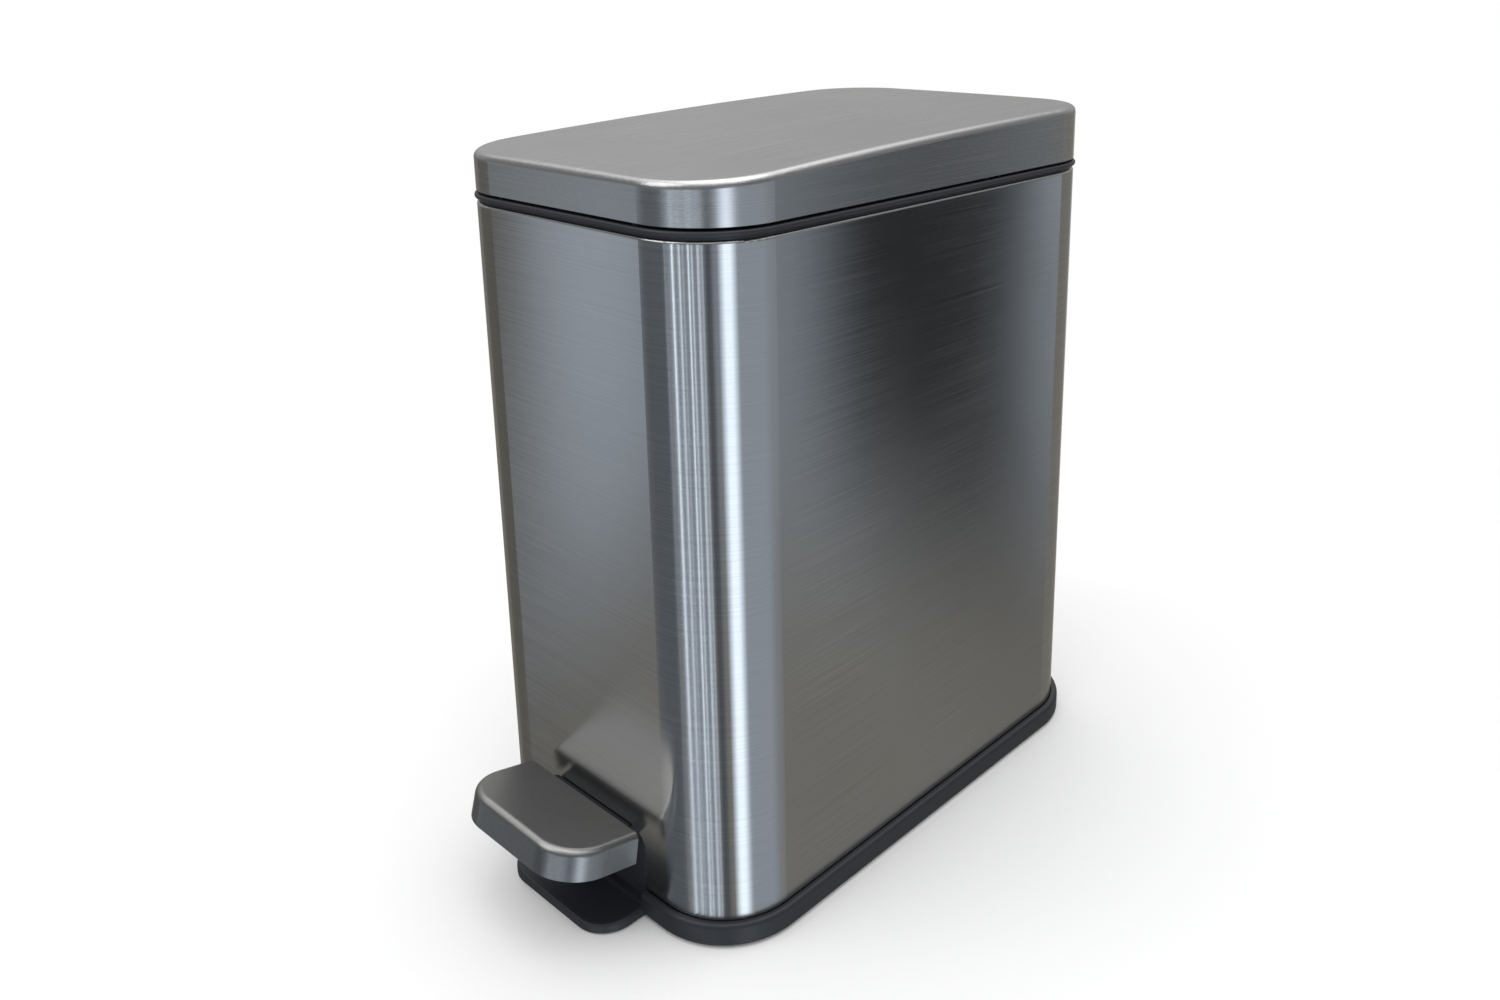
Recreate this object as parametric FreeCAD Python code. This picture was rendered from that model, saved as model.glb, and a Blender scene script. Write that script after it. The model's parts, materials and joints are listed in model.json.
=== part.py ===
import FreeCAD, Part
import math
import os

from FreeCAD import Vector

# Slim rectangular step can. Millimetres, +Z up, +X to the right seen from the pedal,
# the pedal looks towards -Y. The origin is on the floor, under the middle of the box.

# ---- driving dimensions ----
BODY_W = 173.0            # steel body across its narrow front
BODY_L = 276.0            # steel body from front to rear
CORNER_R = 37.0           # outer radius of its upright corners
SHEET = 0.8               # steel sheet of body and lid
STEEL_Z = 11.5            # where the steel comes out of the base
BODY_TOP = 310.5          # top of the steel body
BASE_OUT = 3.7            # how far the base stands out around the steel
BASE_Z = 1.0              # underside of the base, held up by its feet
FLOOR_T = 3.0             # floor of the base
FLOOR_Z = BASE_Z + FLOOR_T

LID_Z = 315.3             # lower edge of the lid's skirt
LID_FRONT_Z = 332.8       # top of the lid at its front, middle and rear
LID_MID_Z = 339.5
LID_REAR_Z = 342.4
LID_EDGE_R = 3.2          # rounding between the lid's top and skirt
LID_CROWN = 0.6           # how far the lid's top rises from its sides to its middle
LID_OPEN = 80.0           # lid opening in degrees

FRONT_REACH = 186.3       # pedal's front edge from the body's centre
BARREL_R = 3.2            # hinge knuckles
BARREL_OUT = 3.5          # hinge axis behind the steel body
BODY_Y = (FRONT_REACH - BODY_L / 2 - BARREL_OUT - BARREL_R) / 2
FRONT = BODY_Y - BODY_L / 2
REAR = BODY_Y + BODY_L / 2

HINGE_Y = REAR + BARREL_OUT
HINGE_Z = BODY_TOP + 2.3
HINGE_HALF = 48.0         # half the hinge's width
HINGE_PIN_R = 1.6
HINGE_PLATE = 1.2
KNUCKLES = 5

CRANK_R = 18.0            # lid lever, from hinge axis to lever pin
PIN_R = 2.0               # pins of the lift rod
PIN_CLEAR = 0.35          # pin clearance above and below in the rod's lower slot
ROD_T = 3.0               # lift rod, a flat steel strip
ROD_WIDE = 9.0
ROD_CLEAR = 0.6           # pin clearance above and below in the rod's upper slot
ROD_EYE = 2.6             # metal left around the rod's slots
ROD_Y = HINGE_Y - CRANK_R * (1 + math.cos(math.radians(LID_OPEN / 2))) / 2
ROD_TRAVEL = 2 * CRANK_R * math.sin(math.radians(LID_OPEN / 2))
CRANK_Y = HINGE_Y - CRANK_R * math.cos(math.radians(LID_OPEN / 2))
CRANK_Z = HINGE_Z - ROD_TRAVEL / 2

AXLE_Y = -3.0             # pedal axle
AXLE_Z = 23.5
AXLE_R = 3.0
LEVER_REACH = ROD_Y - AXLE_Y
LEVER_SLOPE = ROD_TRAVEL / 2 / LEVER_REACH   # fall of the resting lever towards its rear pin
LEVER_TILT = math.degrees(math.atan(LEVER_SLOPE))
LEVER_HALF = 4.6          # half the lever channel's width
LEVER_H = 9.0
LEVER_SHEET = 2.0
LEVER_BEND_Y = FRONT + 2.0     # the lever turns up here towards the pedal
LEVER_TIP_Y = FRONT - 30.0
LEVER_TIP_Z = (40.0, 46.0)     # its lower and upper edge at the tip

PEDAL_TILT = 12.5         # the resting pedal rises towards its front
PEDAL_LOW = 31.5          # height of its skirt's lower edge, carried on to the steel front
PEDAL_H = 13.2            # height of the steel pedal cap
PEDAL_HALF = 41.0
PEDAL_RUN = (9.9, (FRONT_REACH - BODY_L / 2) / math.cos(math.radians(PEDAL_TILT)))
PEDAL_R = 20.5
PEDAL_EDGE_R = 3.2
PEDAL_DRAFT = 0.6         # how far the cap's skirt leans out on its way down
PEDAL_SHEET = 1.0

FOOT_HALF = 36.9          # tongue of the base below the pedal
FOOT_FRONT = FRONT - BASE_OUT - 23.8
FOOT_R = 16.0
FOOT_TOP = 5.2

SLOT_HALF = 35.3          # pedal slot in the steel front
SLOT_TOP = 39.7
SLOT_R = 9.0
LEVER_GATE_HALF = 9.0     # opening in the shroud that the lever moves in
LEVER_GATE_Z = (8.8, 38.2)

BUCKET_GAP = 6.0          # bucket's rim from the steel's outside at the front and sides
BUCKET_RIM = 3.2          # how far the bucket's rim stands out from its walls
BUCKET_REAR = ROD_Y - 13.0
BUCKET_TOP = BODY_TOP - 9.0
BUCKET_LOW = 48.0
BUCKET_WALL = 1.7
BUCKET_TAPER = 7.0
BUCKET_R = (27.5, 20.0)   # radius of its front and rear corners
RIM_LEDGE_Z = BUCKET_TOP - 3.2   # ledge of the collar that the bucket hangs on
BAIL_R = 2.0
BAIL_Y = 9.0              # bail pivots along the bucket
BAIL_Z = BUCKET_TOP - 8.0
BAIL_FRONT = FRONT + 30.0
BAIL_BEND = 14.0
PIN_BEND = 3.0

RIVET_R = 1.5             # shank of the dome-head rivets


# ---- helpers ----
def rounded(half_w, y_front, y_rear, r_front, r_rear, z):
    """Face in the XY plane: a rectangle about x = 0 whose corners are round, or sharp for a radius of 0."""
    def corner(cx, cy, r, start):
        if r == 0:
            return [Vector(cx, cy, z)]
        turns = [math.radians(start + deg) for deg in (0, 45, 90)]
        return [Vector(cx + r * math.cos(a), cy + r * math.sin(a), z) for a in turns]
    corners = [corner(-half_w + r_front, y_front + r_front, r_front, 180),
               corner(half_w - r_front, y_front + r_front, r_front, 270),
               corner(half_w - r_rear, y_rear - r_rear, r_rear, 0),
               corner(-half_w + r_rear, y_rear - r_rear, r_rear, 90)]
    edges = []
    for here, following in zip(corners, corners[1:] + corners[:1]):
        if len(here) > 1:
            edges.append(Part.Arc(*here).toShape())
        if (here[-1] - following[0]).Length > 1e-6:
            edges.append(Part.LineSegment(here[-1], following[0]).toShape())
    return Part.Face(Part.Wire(edges))


def body_block(offset, z0, z1):
    """Solid with the steel body's outline, grown by offset."""
    face = rounded(BODY_W / 2 + offset, FRONT - offset, REAR + offset,
                   CORNER_R + offset, CORNER_R + offset, z0)
    return face.extrude(Vector(0, 0, z1 - z0))


def body_ring(outer, inner, z0, z1):
    return body_block(outer, z0, z1).cut(body_block(inner, z0 - 1, z1 + 1))


def box(x0, x1, y0, y1, z0, z1):
    return Part.makeBox(x1 - x0, y1 - y0, z1 - z0, Vector(x0, y0, z0))


def rod_x(radius, x0, x1, y, z):
    """Cylinder along X."""
    return Part.makeCylinder(radius, x1 - x0, Vector(x0, y, z), Vector(1, 0, 0))


def rod_y(radius, y0, y1, x, z):
    return Part.makeCylinder(radius, y1 - y0, Vector(x, y0, z), Vector(0, 1, 0))


def rod_z(radius, z0, z1, x, y):
    return Part.makeCylinder(radius, z1 - z0, Vector(x, y, z0))


def fuse(*shapes):
    result = shapes[0].multiFuse(list(shapes[1:]))
    return result.removeSplitter()


def plate_yz(points, x0, x1):
    """Flat plate across X with a straight-sided outline given as (y, z) points."""
    pts = [Vector(x0, y, z) for y, z in points]
    face = Part.Face(Part.makePolygon(pts + pts[:1]))
    return face.extrude(Vector(x1 - x0, 0, 0))


def stadium_yz(half_len, radius, y, z, x0, x1):
    """Slot-shaped plate across X, long along Y."""
    middle = box(x0, x1, y - half_len, y + half_len, z - radius, z + radius)
    return fuse(middle, rod_x(radius, x0, x1, y - half_len, z), rod_x(radius, x0, x1, y + half_len, z))


def edges_at(shape, z, tolerance=0.05):
    """Edges that lie in the horizontal plane at height z."""
    return [e for e in shape.Edges
            if abs(e.BoundBox.ZMin - z) < tolerance and abs(e.BoundBox.ZMax - z) < tolerance]


def outer_edges(shape, z, offset):
    """Edges at height z that belong to the body outline grown by offset."""
    half = BODY_W / 2 + offset
    found = []
    for edge in edges_at(shape, z):
        mid = edge.valueAt((edge.FirstParameter + edge.LastParameter) / 2)
        on_side = abs(abs(mid.x) - half) < 0.05
        on_end = min(abs(mid.y - FRONT + offset), abs(mid.y - REAR - offset)) < 0.05
        corner_x = max(abs(mid.x) - (BODY_W / 2 - CORNER_R), 0)
        corner_y = max(abs(mid.y - BODY_Y) - (BODY_L / 2 - CORNER_R), 0)
        on_corner = abs(math.hypot(corner_x, corner_y) - CORNER_R - offset) < 0.05
        if on_side or on_end or on_corner:
            found.append(edge)
    return found


def screw_z(x, y, z_head, length, shank=1.4, head=2.8, up=True):
    """Pan-head screw along Z; up means that the head is at the top."""
    way = 1 if up else -1
    low = z_head - length if up else z_head
    body = rod_z(shank, low, low + length, x, y)
    dome = Part.makeCone(head, head * 0.7, 1.6, Vector(x, y, z_head), Vector(0, 0, way))
    bit = min(z_head + way * 0.8, z_head + way * 1.7)
    cross = fuse(box(x - 1.3, x + 1.3, y - 0.3, y + 0.3, bit, bit + 0.9),
                 box(x - 0.3, x + 0.3, y - 1.3, y + 1.3, bit, bit + 0.9))
    return fuse(body, dome).cut(cross)


def rivet_y(x, y_head, z, length, head=2.6):
    """Dome-head rivet along Y with its head towards the rear."""
    dome = Part.makeSphere(head * 1.15, Vector(x, y_head - head * 0.55, z))
    dome = dome.common(box(x - head, x + head, y_head, y_head + head, z - head, z + head))
    return fuse(dome, rod_y(RIVET_R, y_head - length, y_head + 0.2, x, z))


def pitched(shape):
    """Turn a level pedal piece to the pedal's slope at rest."""
    turned = shape.copy()
    turned.rotate(Vector(0, FRONT, PEDAL_LOW), Vector(1, 0, 0), -PEDAL_TILT)
    return turned


def group(shapes):
    return Part.makeCompound(shapes)


# ---- base ----
GROOVE = (-1.0, 0.5)      # groove for the steel, as offsets of the body outline
COLLAR_WALL = (-3.4, -1.0)
UPSTAND_Z = 30.0
FEET = [(sx * 60.0, y) for sx in (-1, 1) for y in (FRONT + 34.0, REAR - 34.0)]
FOOT_PAD_R = 9.0
BLOCK_X = 20.0            # axle bearing blocks
BLOCK_SCREW_Y = 10.5
BASE_RIVETS_X = (-45.0, 45.0)
BASE_RIVET_Z = 22.0
STOP_Y = FRONT + 22.0
STOP_HALF = 6.0
RIBS_X = (-52.0, 52.0)    # stiffening ribs on the base's floor
RIBS_Y = (FRONT + 34.0, BODY_Y + 20.0, REAR - 55.0)


def foot_outline(inset, z):
    return rounded(FOOT_HALF - inset, FOOT_FRONT + inset, FRONT + 2.0, FOOT_R - inset, 0, z)


def base_tray():
    wall = body_block(BASE_OUT, BASE_Z, STEEL_Z)
    wall = wall.makeFillet(2.2, outer_edges(wall, STEEL_Z, BASE_OUT))
    wall = wall.makeFillet(1.6, outer_edges(wall, BASE_Z, BASE_OUT))
    wall = wall.cut(body_block(COLLAR_WALL[0], FLOOR_Z, STEEL_Z + 1))
    wall = wall.cut(body_ring(GROOVE[1], GROOVE[0], STEEL_Z - 4.0, STEEL_Z + 1))
    upstand = body_ring(COLLAR_WALL[1], COLLAR_WALL[0], STEEL_Z - 5.0, UPSTAND_Z)
    tongue = foot_outline(0.0, BASE_Z).extrude(Vector(0, 0, FOOT_TOP - BASE_Z))
    front_edges = [e for e in edges_at(tongue, FOOT_TOP) if e.CenterOfMass.y < FRONT]
    tongue = tongue.makeFillet(1.2, front_edges)
    tongue = tongue.cut(foot_outline(3.0, FOOT_TOP - 0.7).extrude(Vector(0, 0, 5)))
    tongue = tongue.cut(body_block(BASE_OUT - 3.0, BASE_Z - 1, STEEL_Z + 1))
    ribs = [box(-70.0, 70.0, y - 1.0, y + 1.0, FLOOR_Z - 0.5, FLOOR_Z + 2.0) for y in RIBS_Y]
    ribs += [box(x - 1.0, x + 1.0, FRONT + 12, REAR - 12, FLOOR_Z - 0.5, FLOOR_Z + 2.0) for x in RIBS_X]
    tray = fuse(wall, upstand, tongue, *ribs)
    gate = box(-SLOT_HALF - 0.2, SLOT_HALF + 0.2, FRONT - BASE_OUT - 2, FRONT + 5.0,
               STEEL_Z - 4.0, UPSTAND_Z + 1)
    flange_room = box(-SLOT_HALF - 5.3, SLOT_HALF + 5.3, FRONT + 0.9, FRONT + 14.0,
                      STEEL_Z - 4.0, UPSTAND_Z + 1)
    tray = tray.cut(gate).cut(flange_room)
    for x in BASE_RIVETS_X:
        tray = tray.cut(rod_y(RIVET_R, REAR - 5, REAR, x, BASE_RIVET_Z))
    for x, y in FEET:
        tray = tray.cut(rod_z(FOOT_PAD_R + 0.1, 0, BASE_Z + 1.2, x, y))
    for x in (-BLOCK_X, BLOCK_X):
        for dy in (-BLOCK_SCREW_Y, BLOCK_SCREW_Y):
            tray = tray.cut(rod_z(1.4, BASE_Z + 0.8, FLOOR_Z + 3, x, AXLE_Y + dy))
    return tray


def rubber_feet():
    pads = []
    for x, y in FEET:
        pad = rod_z(FOOT_PAD_R, 0, BASE_Z + 1.2, x, y)
        pads.append(pad.makeFillet(0.5, edges_at(pad, 0)))
    return group(pads)


def pedal_stop():
    """Rubber block on the floor that the pressed lever lands on."""
    top = AXLE_Z - LEVER_H / 2 - LEVER_SLOPE * (AXLE_Y - STOP_Y + STOP_HALF) - 0.3
    pad = box(-7.0, 7.0, STOP_Y - STOP_HALF, STOP_Y + STOP_HALF, FLOOR_Z, top)
    return pad.makeFillet(1.0, edges_at(pad, top))


def base_rivets():
    """Rivets through the rear of the steel into the base's upstand."""
    return group([rivet_y(x, REAR, BASE_RIVET_Z, 4.0) for x in BASE_RIVETS_X])


# ---- steel body and its front shroud ----
def slot_block(grow, y0, y1, z0):
    face = rounded(SLOT_HALF + grow, z0, SLOT_TOP + grow, 0, SLOT_R + grow, 0)
    block = face.extrude(Vector(0, 0, y1 - y0))
    block.rotate(Vector(0, 0, 0), Vector(1, 0, 0), 90)
    block.translate(Vector(0, y1, 0))
    return block


def body_shell():
    shell = body_block(0.0, STEEL_Z - 4.0, BODY_TOP)
    shell = shell.makeFillet(1.3, outer_edges(shell, BODY_TOP, 0.0))
    shell = shell.cut(body_block(-SHEET, STEEL_Z - 5.0, BODY_TOP - 2.2))
    shell = shell.cut(body_block(-2.4, BODY_TOP - 5, BODY_TOP + 1))
    shell = shell.cut(slot_block(0.0, FRONT - 3, FRONT + 3, STEEL_Z - 6))
    for x in HINGE_RIVETS_X:
        shell = shell.cut(rod_y(RIVET_R, REAR - 3, REAR + 3, x, HINGE_RIVET_Z))
    for x in BASE_RIVETS_X:
        shell = shell.cut(rod_y(RIVET_R, REAR - 3, REAR + 3, x, BASE_RIVET_Z))
    for z in GUIDE_Z:
        for x in (-GUIDE_RIVET_X, GUIDE_RIVET_X):
            shell = shell.cut(rod_y(RIVET_R, REAR - 3, REAR + 3, x, z))
    return shell


def slot_shroud():
    """Black surround of the pedal slot: a flange behind the steel and a lip in the slot."""
    flange = slot_block(5.0, FRONT + SHEET + 0.1, FRONT + SHEET + 2.1, STEEL_Z - 2.0)
    lip = slot_block(-0.25, FRONT - 0.6, FRONT + SHEET + 1.0, STEEL_Z - 3.8)
    throat = box(-SLOT_HALF + 6, SLOT_HALF - 6, FRONT + SHEET + 1.0, FRONT + 13.0,
                 STEEL_Z - 3.8, SLOT_TOP - 1.0)
    shroud = fuse(flange, lip, throat)
    gate = box(-LEVER_GATE_HALF, LEVER_GATE_HALF, FRONT - 3, FRONT + 20, *LEVER_GATE_Z)
    recess = box(-SLOT_HALF + 8, SLOT_HALF - 8, FRONT + 2.6, FRONT + 20, *LEVER_GATE_Z)
    return shroud.cut(gate).cut(recess)


# ---- collar between steel and lid ----
NECK = 1.4
BEAD = 2.4
BEAD_OUT = 0.9            # how far the bead stands out from the steel, except behind the hinge
COLLAR_IN = -5.4          # inside of the collar, as an offset of the body outline
BUMPER_IN = 3.6
RIM_BUMPERS = [(side * 45.0, FRONT + BUMPER_IN) for side in (-1, 1)]
RIM_BUMPERS += [(side * (BODY_W / 2 - BUMPER_IN), BODY_Y + 40.0) for side in (-1, 1)]
BUMPER_TOP = LID_Z + 1.4


def rim_ring():
    """Black collar: a ring in the steel's mouth, a neck, a bead, and the bucket's ledge."""
    z_bead = BODY_TOP + NECK
    bead = body_ring(BEAD_OUT, COLLAR_IN, z_bead, z_bead + BEAD)
    round_edges = outer_edges(bead, z_bead, BEAD_OUT) + outer_edges(bead, z_bead + BEAD, BEAD_OUT)
    bead = bead.makeFillet(BEAD * 0.48, round_edges)
    hinge_room = box(-HINGE_HALF - 2.0, HINGE_HALF + 2.0, REAR, REAR + 2.0, z_bead - 1.0, z_bead + BEAD + 1.0)
    bead = bead.cut(hinge_room)
    neck = body_ring(-1.5, COLLAR_IN, BODY_TOP, z_bead + 0.3)
    skirt = body_ring(-2.5, -4.6, RIM_LEDGE_Z - 6.0, BODY_TOP + 0.2)
    ledge_face = rounded(BODY_W / 2 - 4.0, FRONT + 4.0, BUCKET_REAR + 5.0,
                         CORNER_R - 4.0, 12.0, RIM_LEDGE_Z - 2.5)
    inset = BUCKET_GAP + BUCKET_RIM - 0.7
    hole_face = rounded(BODY_W / 2 - inset, FRONT + inset, BUCKET_REAR - BUCKET_RIM + 0.7,
                        CORNER_R - inset, 10.0, RIM_LEDGE_Z - 4.0)
    ledge = ledge_face.extrude(Vector(0, 0, 2.5)).cut(hole_face.extrude(Vector(0, 0, 8.0)))
    cross_wall = box(-BODY_W / 2, BODY_W / 2, BUCKET_REAR + 3.0, BUCKET_REAR + 5.0,
                     RIM_LEDGE_Z - 6.0, BODY_TOP - 4.0)
    cross_wall = cross_wall.common(body_block(-3.0, RIM_LEDGE_Z - 10, BODY_TOP))
    ring = fuse(bead, neck, skirt, ledge, cross_wall)
    lever_notch = box(-13.0, 13.0, ROD_Y - 14.0, REAR - 4.0, RIM_LEDGE_Z - 10, BODY_TOP + 10)
    ring = ring.cut(lever_notch)
    for x, y in RIM_BUMPERS:
        ring = ring.cut(rod_z(1.0, BODY_TOP + 0.2, BODY_TOP + 8, x, y))
    for x in HINGE_RIVETS_X:
        ring = ring.cut(rod_y(RIVET_R, REAR - 8, REAR, x, HINGE_RIVET_Z))
    return ring


def lid_bumpers():
    """Soft buttons on the collar that the lid closes on."""
    parts = []
    for x, y in RIM_BUMPERS:
        top = BODY_TOP + NECK + BEAD
        pad = rod_z(1.6, top, BUMPER_TOP, x, y)
        pad = pad.makeFillet(0.5, edges_at(pad, BUMPER_TOP))
        parts.append(fuse(pad, rod_z(1.0, BODY_TOP + 0.3, top + 0.1, x, y)))
    return group(parts)


# ---- lid hinge ----
HINGE_RIVETS_X = (-36.0, -12.0, 12.0, 36.0)
HINGE_RIVET_Z = BODY_TOP - 11.0
HINGE_LEAF_LOW = BODY_TOP - 19.0
HINGE_LEAF_HIGH = LID_Z + 17.0
HINGE_RIVET_LID_Z = LID_Z + 10.5
LEAF_Y = HINGE_Y - BARREL_R


def knuckle_spans():
    """X spans of the knuckles, left to right, with 0.3 mm between neighbours."""
    step = 2 * HINGE_HALF / KNUCKLES
    return [(-HINGE_HALF + i * step + 0.15, -HINGE_HALF + (i + 1) * step - 0.15) for i in range(KNUCKLES)]


def hinge_leaf(upper):
    first = 1 if upper else 0
    z0, z1 = (HINGE_Z, HINGE_LEAF_HIGH) if upper else (HINGE_LEAF_LOW, HINGE_Z)
    plate = box(-HINGE_HALF + 0.15, HINGE_HALF - 0.15, LEAF_Y, LEAF_Y + HINGE_PLATE, z0, z1)
    far = z1 if upper else z0
    corners = [e for e in plate.Edges
               if abs(e.CenterOfMass.z - far) < 0.01 and e.Length < HINGE_PLATE + 0.01]
    leaf = plate.makeFillet(4.0, corners)
    for i, (x0, x1) in enumerate(knuckle_spans()):
        if i % 2 == first:
            leaf = leaf.fuse(rod_x(BARREL_R, x0, x1, HINGE_Y, HINGE_Z))
        else:
            room = box(x0 - 0.3, x1 + 0.3, LEAF_Y - 1, HINGE_Y + 5, HINGE_Z - 4.0, HINGE_Z + 4.0)
            leaf = leaf.cut(room)
    leaf = leaf.cut(rod_x(HINGE_PIN_R + 0.06, -HINGE_HALF - 1, HINGE_HALF + 1, HINGE_Y, HINGE_Z))
    z_rivet = HINGE_RIVET_LID_Z if upper else HINGE_RIVET_Z
    for x in HINGE_RIVETS_X:
        leaf = leaf.cut(rod_y(RIVET_R, LEAF_Y - 1, LEAF_Y + 3, x, z_rivet))
    return leaf.removeSplitter()


def hinge_pin():
    pin = rod_x(HINGE_PIN_R, -HINGE_HALF - 0.6, HINGE_HALF + 0.6, HINGE_Y, HINGE_Z)
    heads = [rod_x(2.5, x, x + 0.9, HINGE_Y, HINGE_Z) for x in (-HINGE_HALF - 1.4, HINGE_HALF + 0.5)]
    return fuse(pin, *heads)


def hinge_rivets(z):
    return group([rivet_y(x, LEAF_Y + HINGE_PLATE, z, 4.6) for x in HINGE_RIVETS_X])


# ---- lid ----
def lid_top_cutter(drop):
    """Everything above the lid's crowned top, lowered by drop."""
    grid = []
    for x in (-1.0, -0.5, 0.0, 0.5, 1.0):
        row = []
        for y, z in ((FRONT - 8, LID_FRONT_Z - 0.5), (BODY_Y, LID_MID_Z), (REAR + 8, LID_REAR_Z + 0.1)):
            crown = LID_CROWN * (1 - x * x)
            row.append(Vector(x * (BODY_W / 2 + 8), y, z - LID_CROWN + crown - drop))
        grid.append(row)
    surface = Part.BSplineSurface()
    surface.interpolate(grid)
    return surface.toShape().extrude(Vector(0, 0, 40))


def lid_form(inset, drop, z0):
    """Solid under the lid's top surface, inset from its outline."""
    block = body_block(-inset, z0, LID_REAR_Z + 15).cut(lid_top_cutter(drop))
    rim = []
    for edge in block.Edges:
        low = edge.BoundBox.ZMin
        wide = edge.BoundBox.ZMax - edge.BoundBox.ZMin
        if low > LID_Z + 12 and (wide < 12) and edge.Length > 5:
            rim.append(edge)
    return block.makeFillet(LID_EDGE_R - inset, rim)


def lid_shell():
    outer = lid_form(0.0, 0.0, LID_Z)
    outer = outer.makeChamfer(0.35, outer_edges(outer, LID_Z, 0.0))
    shell = outer.cut(lid_form(SHEET, SHEET, LID_Z - 2))
    for x in HINGE_RIVETS_X:
        shell = shell.cut(rod_y(RIVET_R, REAR - 4, REAR + 3, x, HINGE_RIVET_LID_Z))
    return shell


LINER_OUT = 0.95          # liner from the lid's outside
LINER_WALL = 1.8
LINER_LOW = LID_Z + 1.6
LEVER_PLATE_Z = LID_Z + 19.0


def lid_liner():
    """Plastic lining of the lid with cross ribs and a block for the lid lever."""
    outer = lid_form(LINER_OUT, LINER_OUT, LINER_LOW)
    inner = lid_form(LINER_OUT + LINER_WALL, LINER_OUT + LINER_WALL, LINER_LOW - 1)
    liner = outer.cut(inner)
    block = box(-17.0, 17.0, CRANK_Y - 13.0, REAR - 3.0, LEVER_PLATE_Z + 1.6, LID_REAR_Z)
    block = block.common(lid_form(LINER_OUT + 0.4, LINER_OUT + 0.4, LINER_LOW))
    ribs = [box(-BODY_W / 2, BODY_W / 2, y - 0.9, y + 0.9, LEVER_PLATE_Z - 2.0 + dz, LID_REAR_Z + 5)
            for y, dz in ((-60.0, 0.0), (0.0, 2.0), (60.0, 3.5))]
    ribs = [r.common(lid_form(LINER_OUT + 0.4, LINER_OUT + 0.4, LINER_LOW)) for r in ribs]
    foot = body_ring(-LINER_OUT, COLLAR_IN - 0.6, LINER_LOW, LINER_LOW + 1.4)
    cheek_room = box(-13.0, 13.0, CRANK_Y - 6.0, CRANK_Y + 5.2, LINER_LOW - 1, LINER_LOW + 1.4)
    liner = fuse(liner, foot.cut(cheek_room), block, *ribs)
    for x in HINGE_RIVETS_X:
        liner = liner.cut(rod_y(RIVET_R, REAR - 8, REAR, x, HINGE_RIVET_LID_Z))
    for x, y in LEVER_SCREWS:
        liner = liner.cut(rod_z(1.4, LEVER_PLATE_Z, LEVER_PLATE_Z + 5.5, x, y))
    return liner


LEVER_SCREWS = [(side * 11.0, CRANK_Y + dy) for side in (-1, 1) for dy in (-8.0, 3.5)]
CHEEK_X = (2.5, 4.5)


def lid_lever():
    """Two cheeks on a plate below the liner; they carry the pin that the rod pushes."""
    plate = box(-15.0, 15.0, CRANK_Y - 12.0, CRANK_Y + 7.2, LEVER_PLATE_Z, LEVER_PLATE_Z + 1.6)
    cheeks = []
    for side in (-1, 1):
        x0, x1 = sorted((side * CHEEK_X[0], side * CHEEK_X[1]))
        web = plate_yz([(CRANK_Y - 4.6, CRANK_Z), (CRANK_Y + 4.6, CRANK_Z),
                        (CRANK_Y + 4.6, LEVER_PLATE_Z + 0.5), (CRANK_Y - 7.0, LEVER_PLATE_Z + 0.5),
                        (CRANK_Y - 4.6, LEVER_PLATE_Z - 10)], x0, x1)
        cheeks.append(web)
        cheeks.append(rod_x(4.6, x0, x1, CRANK_Y, CRANK_Z))
    lever = fuse(plate, *cheeks)
    lever = lever.cut(rod_x(PIN_R, -10, 10, CRANK_Y, CRANK_Z))
    for x, y in LEVER_SCREWS:
        lever = lever.cut(rod_z(1.6, LEVER_PLATE_Z - 3, LEVER_PLATE_Z + 5, x, y))
    return lever


def pin_with_heads(y, z, half, head=3.1):
    pin = rod_x(PIN_R, -half, half, y, z)
    heads = [rod_x(head, x, x + 0.9, y, z) for x in (-half - 0.9, half)]
    return fuse(pin, *heads)


def lid_lever_pin():
    return pin_with_heads(CRANK_Y, CRANK_Z, CHEEK_X[1])


def lid_lever_screws():
    return group([screw_z(x, y, LEVER_PLATE_Z, 5.0, up=False) for x, y in LEVER_SCREWS])


# ---- lift rod ----
UPPER_SLOT_HALF = CRANK_R * (1 - math.cos(math.radians(LID_OPEN / 2))) / 2 + 0.3
LOWER_PIN_Z = AXLE_Z - ROD_TRAVEL / 2
LOWER_SLOT_HALF = LEVER_REACH * (1 / math.cos(math.radians(LEVER_TILT)) - 1) + 0.3
GUIDE_Z = (70.0, 250.0)
GUIDE_RIVET_X = 12.0


def lift_rod():
    """Flat strip with a sideways slot at each end."""
    strip = box(-ROD_T / 2, ROD_T / 2, ROD_Y - ROD_WIDE / 2, ROD_Y + ROD_WIDE / 2, LOWER_PIN_Z, CRANK_Z)
    upper_slot = (UPPER_SLOT_HALF, PIN_R + ROD_CLEAR)
    lower_slot = (LOWER_SLOT_HALF, PIN_R + PIN_CLEAR)
    head = stadium_yz(upper_slot[0], upper_slot[1] + ROD_EYE, ROD_Y, CRANK_Z, -ROD_T / 2, ROD_T / 2)
    toe = stadium_yz(lower_slot[0], lower_slot[1] + ROD_EYE, ROD_Y, LOWER_PIN_Z, -ROD_T / 2, ROD_T / 2)
    rod = fuse(strip, head, toe)
    rod = rod.cut(stadium_yz(*upper_slot, ROD_Y, CRANK_Z, -ROD_T, ROD_T))
    return rod.cut(stadium_yz(*lower_slot, ROD_Y, LOWER_PIN_Z, -ROD_T, ROD_T))


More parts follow.
